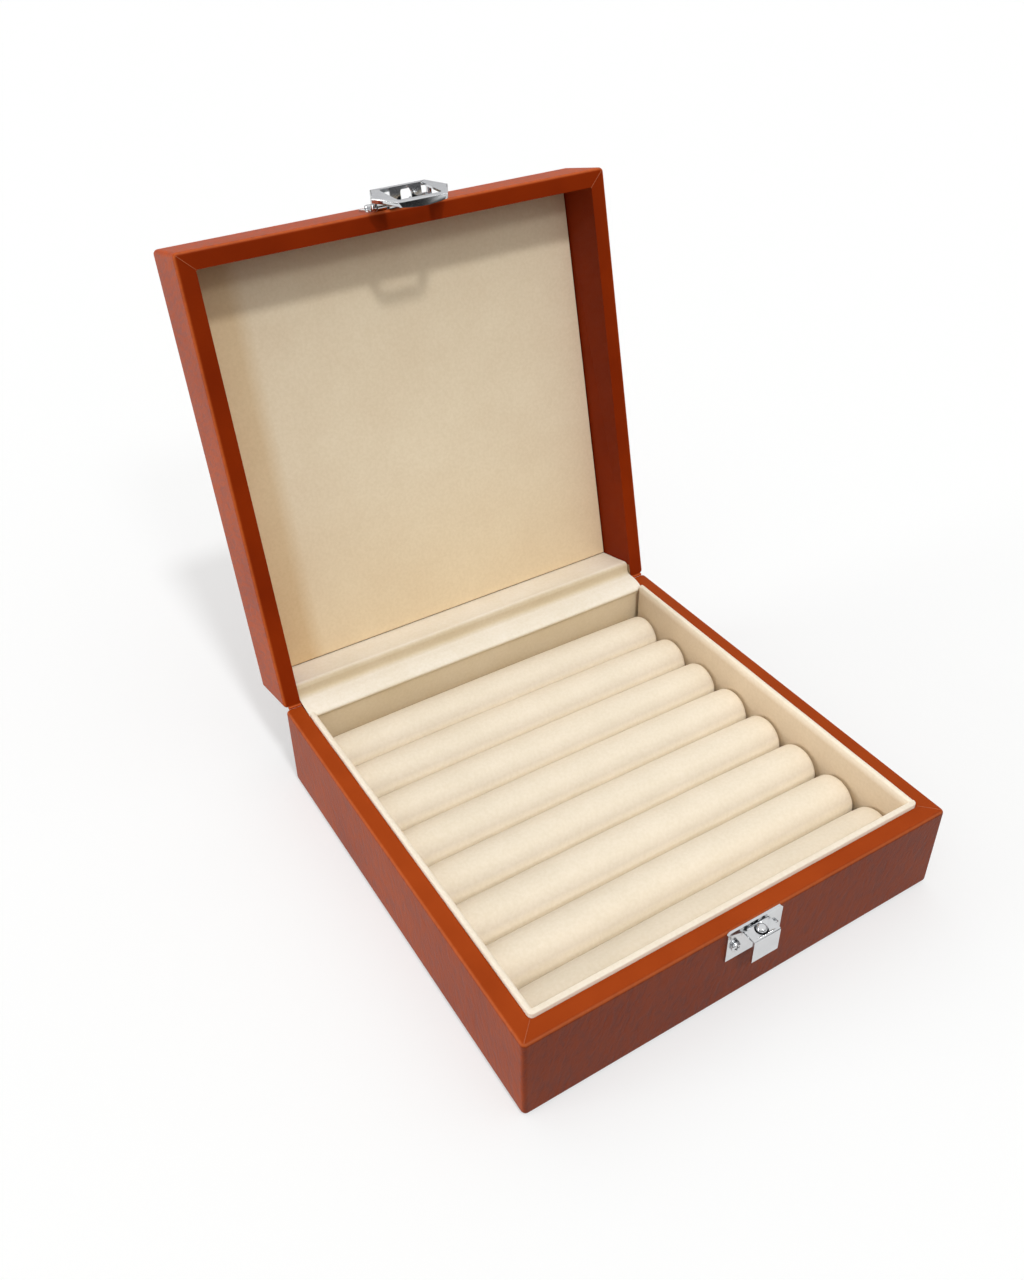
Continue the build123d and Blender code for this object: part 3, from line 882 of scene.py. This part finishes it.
bpy.ops.object.select_all(action="DESELECT")
bpy.ops.mesh.primitive_cylinder_add(
    vertices=72, radius=roll_radius, depth=2 * roll_half_length, rotation=(0, math.pi / 2, 0)
)
first_roll = bpy.context.object
bpy.ops.object.transform_apply(location=True, rotation=True, scale=True)
choose_edges(first_roll, lambda a, b: abs(a.x - b.x) < roll_shoulder)
bpy.ops.mesh.bevel(offset=roll_shoulder, segments=8)
bpy.ops.object.mode_set(mode="OBJECT")
choose_edges(first_roll, lambda a, b: abs(a.x - b.x) > roll_half_length)
bpy.ops.mesh.subdivide(number_cuts=47)
bpy.ops.object.mode_set(mode="OBJECT")

disc_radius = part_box("ring_roll_1_end_discs")[1].z - roll_axis_z
disc_face_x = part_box("ring_roll_1_end_discs")[1].x

for number in range(1, 9):
    low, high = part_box(f"ring_roll_{number}_velvet")
    middle_y = (low.y + high.y) / 2
    roll = bpy.data.objects.new(f"ring_roll_{number}_cover", first_roll.data.copy())
    bpy.context.scene.collection.objects.link(roll)
    for vertex in roll.data.vertices:
        along = vertex.co.x / roll_half_length
        spot = (
            vertex.co.x / lump_length,
            vertex.co.y / lump_width,
            vertex.co.z / lump_width + next_lumps * number,
        )
        lump = noise.noise(Vector(spot))
        around = math.hypot(vertex.co.y, vertex.co.z)
        drawn_in = roll_swell * along**2 + roll_end_taper * along**30 + roll_lumps * (1 + lump)
        keep = 1 - drawn_in / roll_radius if around > roll_radius / 2 else 1
        vertex.co = (vertex.co.x, vertex.co.y * keep + middle_y, vertex.co.z * keep + roll_axis_z)
        vertex.co.z = max(vertex.co.z, roll_seat_z)
    pick(roll)
    bpy.ops.object.shade_smooth_by_angle(angle=math.radians(50))
    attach(roll, "base")
    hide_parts(f"ring_roll_{number}_velvet", f"ring_roll_{number}_foam")
    dress(roll, roll_velvet)

    bpy.ops.object.select_all(action="DESELECT")
    ends = []
    for side in (-1, 1):
        bpy.ops.mesh.primitive_cylinder_add(
            vertices=48,
            radius=disc_radius,
            depth=2 * roll_shoulder,
            location=(side * (disc_face_x - roll_shoulder), middle_y, roll_axis_z),
            rotation=(0, math.pi / 2, 0),
        )
        bpy.ops.object.transform_apply(location=True, rotation=True, scale=True)
        ends.append(bpy.context.object)
    for disc in ends:
        disc.select_set(True)
    bpy.ops.object.join()
    discs = bpy.context.object
    discs.name = f"ring_roll_{number}_end_caps"
    bevel = discs.modifiers.new("turned_edge", "BEVEL")
    bevel.width = disc_rounding
    bevel.segments = 3
    bevel.limit_method = "ANGLE"
    bpy.ops.object.modifier_apply(modifier=bevel.name)
    bpy.ops.object.shade_smooth_by_angle(angle=math.radians(40))
    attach(discs, "base")
    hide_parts(f"ring_roll_{number}_end_discs")
    dress(discs, disc_velvet)

bpy.data.objects.remove(first_roll)


# Foam pad
# A block of open-cell foam under the roll card, which lifts the rolls to their height. It is sawn
# from a slab and lies loose on the floor board.

foam_cell = 0.0012
pad_edge = 0.0008


def open_cell_foam():
    """Cream open-cell polyurethane foam: pale and matt, and pitted with cells, drawn coarser than real."""
    made, tree, shader = start_material("open_cell_foam", 0.95)
    place = add_node(tree, "ShaderNodeTexCoord")
    cells = add_node(
        tree, "ShaderNodeTexVoronoi", {"Scale": 1 / foam_cell}, {"Vector": place.outputs["Object"]}
    )
    tone = add_node(tree, "ShaderNodeValToRGB", links={"Fac": cells.outputs["Distance"]})
    tone.color_ramp.elements[0].color = linear("#F1EDE0")
    tone.color_ramp.elements[1].color = linear("#D9D2BF")
    tree.links.new(tone.outputs["Color"], shader.inputs["Base Color"])
    bump = add_node(
        tree, "ShaderNodeBump", {"Strength": 0.5, "Distance": 0.0003}, {"Height": cells.outputs["Distance"]}
    )
    tree.links.new(bump.outputs[0], shader.inputs["Normal"])
    return made


low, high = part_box("tray_foam_pad")
bpy.ops.object.select_all(action="DESELECT")
bpy.ops.mesh.primitive_cube_add(size=1, location=(low + high) / 2)
pad = bpy.context.object
pad.name = "tray_foam_block"
pad.scale = high - low
bpy.ops.object.transform_apply(location=True, rotation=True, scale=True)
bevel = pad.modifiers.new("cut_edge", "BEVEL")
bevel.width = pad_edge
bevel.segments = 2
bpy.ops.object.modifier_apply(modifier=bevel.name)
bpy.ops.object.shade_smooth_by_angle(angle=math.radians(40))
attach(pad, "base")
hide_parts("tray_foam_pad")
dress(pad, open_cell_foam())


# Lid lining
# A card covered in beige velvet and pressed into the lid. Its edges are turned over and soft. The
# velvet is painted darker along the left edge and towards the hinge, as painted shade.

lining_cloud = 0.030
lining_edge = 0.0007
lining_wave = 0.00010
lining_wave_length = 0.035
# The left edge strip and the foot towards the hinge are painted darker, as painted shade.
left_strip_start = -0.0685
left_strip_full = -0.0765
foot_start = 0.120
foot_full = 0.020
lining_velvet = velvet(
    "beige_short_pile_velvet",
    "#F8E9CD",
    "#F3E2C5",
    lining_cloud,
    shaded_places=((("X", left_strip_start, left_strip_full),), (("Z", foot_start, foot_full),)),
    shade="#F0E6D6",
)
lining_points = [open_to_shut @ vertex.co for vertex in frame["nodes"]["lid_lining_velvet"].data.vertices]
lining_low = Vector([min(point[axis] for point in lining_points) for axis in range(3)])
lining_high = Vector([max(point[axis] for point in lining_points) for axis in range(3)])

bpy.ops.object.select_all(action="DESELECT")
bpy.ops.mesh.primitive_cube_add(size=1, location=(lining_low + lining_high) / 2)
panel = bpy.context.object
panel.name = "lid_lining_panel"
panel.scale = lining_high - lining_low
bpy.ops.object.transform_apply(location=True, rotation=True, scale=True)
choose_edges(panel, lambda a, b: (a - b).length > case_half_width)
bpy.ops.mesh.subdivide(number_cuts=24)
bpy.ops.object.mode_set(mode="OBJECT")
bevel = panel.modifiers.new("turned_edge", "BEVEL")
bevel.width = lining_edge
bevel.segments = 4
bevel.limit_method = "ANGLE"
bpy.ops.object.modifier_apply(modifier=bevel.name)
for vertex in panel.data.vertices:
    if vertex.co.z < lining_low.z + lining_edge:
        vertex.co.z += lining_wave * (1 + noise.noise(vertex.co / lining_wave_length))
panel.data.transform(shut_to_open)
bpy.ops.object.shade_smooth_by_angle(angle=math.radians(40))
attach(panel, "lid")
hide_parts("lid_lining_velvet")
dress(panel, lining_velvet)


# Hinge cloth
# One strip of ivory cloth over the hinge, inside: glued to the lid's back wall, puffed over both
# rims, slack between them, and glued down the back wall of the tray.

cloth_and_glue = 0.0008
cloth_thickness = 0.0005
cloth_cloud = 0.024
cloth_low, cloth_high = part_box("hinge_cloth_on_base")
cloth_half_length = cloth_high.x
wall_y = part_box("base_back_board")[0].y - cloth_and_glue
nose_y = cloth_low.y
crown_z = cloth_high.z
lining_face_z = lining_low.z
cloth_rows = 112
cloth_steps = 5
puff_length = 0.070
puff_depth = 0.00040
slack_depth = 0.00080


def shut_point(y, height):
    """A point of the lid half, given by its height above the hinge line on the shut box."""
    turned = shut_to_open @ Vector((0, y, rim_height + height))
    return Vector((turned.y, turned.z))


def base_point(y, depth):
    """A point of the base half, given by its depth below the rim."""
    return Vector((y, crown_z - depth))


def cloth_profile(x):
    """The cloth's line from the tray to the lining at one place along its length."""
    puff = puff_depth * noise.noise(Vector((x / puff_length, 0.4, 0.0)))
    slack = slack_depth * noise.noise(Vector((x / puff_length, 5.1, 2.0)))
    return [
        base_point(wall_y, 0.0260),
        base_point(wall_y, 0.0120),
        base_point(wall_y, 0.0058),
        base_point(wall_y - 0.0003, 0.0037),
        base_point(nose_y + 0.0001 - puff, 0.0019),
        base_point(nose_y + 0.0006 - puff, 0.0006),
        base_point(nose_y + 0.0022, -0.0002 - 0.4 * slack),
        base_point(nose_y + 0.0044, -0.0008 - 0.8 * slack),
        base_point(nose_y + 0.0067, -0.0012 - slack),
        base_point(nose_y + 0.0089, -0.0013 - 0.5 * slack),
        shut_point(nose_y + 0.0073, 0.0014),
        shut_point(nose_y + 0.0062, 0.0025),
        shut_point(nose_y + 0.0044, 0.0025 + 0.3 * slack),
        shut_point(nose_y + 0.0028, 0.0022 + 0.7 * slack),
        shut_point(nose_y + 0.0015 - puff, 0.0028 + 0.5 * slack),
        shut_point(nose_y + 0.0010 - puff, 0.0044),
        shut_point(wall_y - 0.0002, 0.0064),
        shut_point(wall_y, 0.0110),
        shut_point(wall_y, 0.0170),
        shut_point(wall_y, lining_face_z - rim_height + 0.0012),
    ]


def rounded(points, steps):
    """More points on a smooth line through the given ones."""
    line = []
    for index in range(len(points) - 1):
        before = points[max(index - 1, 0)]
        start, end = points[index], points[index + 1]
        after = points[min(index + 2, len(points) - 1)]
        for step in range(steps):
            t = step / steps
            line.append(
                0.5
                * (
                    2 * start
                    + (end - before) * t
                    + (2 * before - 5 * start + 4 * end - after) * t**2
                    + (3 * start - before - 3 * end + after) * t**3
                )
            )
    return line + [points[-1]]


profile_count = len(rounded(cloth_profile(0), cloth_steps))
bpy.ops.object.select_all(action="DESELECT")
bpy.ops.mesh.primitive_grid_add(x_subdivisions=cloth_rows, y_subdivisions=profile_count - 1, size=2)
cloth = bpy.context.object
cloth.name = "hinge_cloth"
for row in range(cloth_rows + 1):
    share = 2 * row / cloth_rows - 1
    x = share * cloth_half_length
    line = rounded(cloth_profile(x), cloth_steps)
    for column, point in enumerate(line):
        cloth.data.vertices[column * (cloth_rows + 1) + row].co = (x, point.x, point.y)
bpy.ops.object.mode_set(mode="EDIT")
bpy.ops.mesh.select_all(action="SELECT")
bpy.ops.mesh.normals_make_consistent(inside=False)
bpy.ops.object.mode_set(mode="OBJECT")
thick = cloth.modifiers.new("thickness", "SOLIDIFY")
thick.thickness = cloth_thickness
thick.offset = -1.0
bpy.ops.object.modifier_apply(modifier=thick.name)
bpy.ops.object.shade_smooth_by_angle(angle=math.radians(60))
# The cloth down the tray's back wall and in the valley under the lid's nose is painted darker, as painted
# shade.
tray_painted_shade = (("Z", 0.0410, 0.0385),)
valley_painted_shade = (("Y", 0.1004, 0.1030), ("Y", 0.1056, 0.1040))
ivory_cloth = velvet(
    "ivory_brushed_cloth",
    "#FAF3E6",
    "#F3EAD8",
    cloth_cloud,
    shaded_places=(tray_painted_shade, valley_painted_shade),
    shade="#E1D6C3",
)
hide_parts("hinge_cloth_on_base", "hinge_cloth_on_lid")
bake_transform(cloth)
dress(cloth, ivory_cloth)


# Catch and clasp
# Both are pressed from sheet steel and chromed. The catch has a bent tongue and a riveted stud, and
# the clasp a joggled tab and a pinned swinging flap. Each is held by two screws.

press_wave = 0.004


def polished_chrome():
    """Bright nickel-chrome plate on pressed steel, which is never quite flat, so that what it mirrors
    is bent a little."""
    made, tree, shader = start_material("polished_chrome_plate", 0.14)
    shader.inputs["Metallic"].default_value = 1.0
    place = add_node(tree, "ShaderNodeTexCoord")
    press = add_node(
        tree,
        "ShaderNodeTexNoise",
        {"Scale": 1 / press_wave, "Detail": 2.0},
        {"Vector": place.outputs["Object"]},
    )
    tone = add_node(tree, "ShaderNodeValToRGB", links={"Fac": press.outputs["Fac"]})
    tone.color_ramp.elements[0].color = linear("#C9CBCD")
    tone.color_ramp.elements[1].color = linear("#DADBDC")
    tree.links.new(tone.outputs["Color"], shader.inputs["Base Color"])
    bump = add_node(
        tree, "ShaderNodeBump", {"Strength": 0.12, "Distance": 0.0002}, {"Height": press.outputs["Fac"]}
    )
    tree.links.new(bump.outputs[0], shader.inputs["Normal"])
    return made


chrome_finish = polished_chrome()
for node in (
    "catch_plate",
    "catch_stud",
    "catch_screws",
    "clasp_plate",
    "clasp_screws",
    "clasp_pin",
    "clasp_flap",
):
    metal = smooth_copy(node, node + "_chromed", crease=28)
    dress(metal, chrome_finish)
